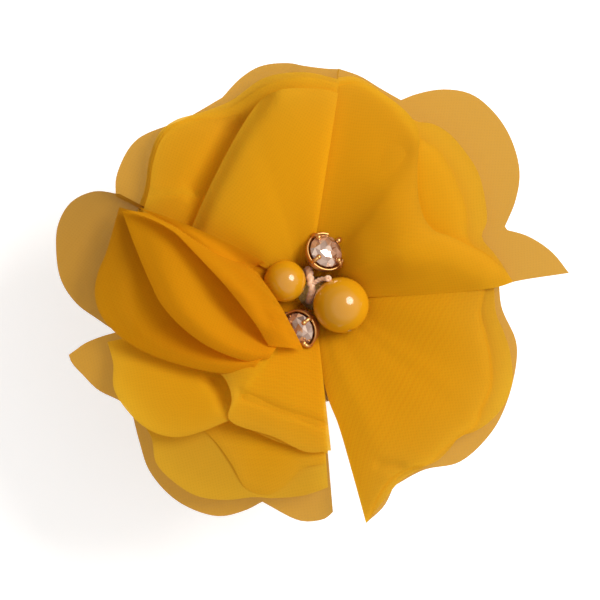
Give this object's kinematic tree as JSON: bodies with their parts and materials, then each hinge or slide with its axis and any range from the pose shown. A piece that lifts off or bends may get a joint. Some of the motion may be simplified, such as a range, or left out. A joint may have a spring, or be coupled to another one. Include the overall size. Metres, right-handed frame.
{
  "type": "flower hair clip",
  "caption": "Hair clip with a folded chiffon flower and a pearl and rhinestone centre, sewn on felt and glued to a sprung alligator clip.",
  "frame": {"origin": "on the outer face of the clip's lower arm, straight behind the middle of the flower", "axes": "+Z is the way the flower faces, +X runs along the clip from its tip to its finger tabs, and +Y points up in the flower's usual view"},
  "size_m": [0.0516, 0.046, 0.0231],
  "materials": {
    "clip_steel": "bright nickel plate over thin sheet steel",
    "pin_steel": "nickel plated rivet",
    "spring_steel": "drawn spring wire, dark and slightly oily",
    "ribbon": "golden yellow grosgrain with fine cross ribs",
    "hot_glue": "cloudy set hot glue",
    "felt": "golden yellow pressed felt, matted fibres",
    "chiffon": "sheer golden yellow chiffon, fine crossed weave, paler where it is a single layer",
    "thread": "pale pinkish gold sewing thread, twisted",
    "pearl": "golden pearl coat with a soft lustre",
    "crystal": "cut rhinestone with a champagne tint",
    "gilt_brass": "rose gold plate on stamped brass"
  },
  "bodies": {
    "clip_and_flower": {"upper_arm": "clip_steel", "hinge_pin": "pin_steel", "torsion_spring": "spring_steel", "ribbon_lining": "ribbon", "glue_pad": "hot_glue", "felt_backing": "felt", "petal_top": "chiffon", "petal_upper_right": "chiffon", "petal_lower_right": "chiffon", "petal_lower_left": "chiffon", "petal_left": "chiffon", "gathering_thread": "thread", "bead_thread": "thread", "bead_thread_end": "thread", "large_pearl": "pearl", "small_pearl": "pearl", "upper_rhinestone_crystal": "crystal", "upper_rhinestone_setting": "gilt_brass", "lower_rhinestone_crystal": "crystal", "lower_rhinestone_setting": "gilt_brass"},
    "jaw": {"lower_arm": "clip_steel"}
  },
  "joints": [
    {"name": "jaw_hinge", "type": "hinge", "parent": "clip_and_flower", "child": "jaw", "pos_m": [0.007, 0, 0.0024], "axis": [0, -1, 0], "range_deg": [0, 30], "stiffness_Nm_per_rad": 0.02, "deforming": ["torsion_spring"]}
  ]
}
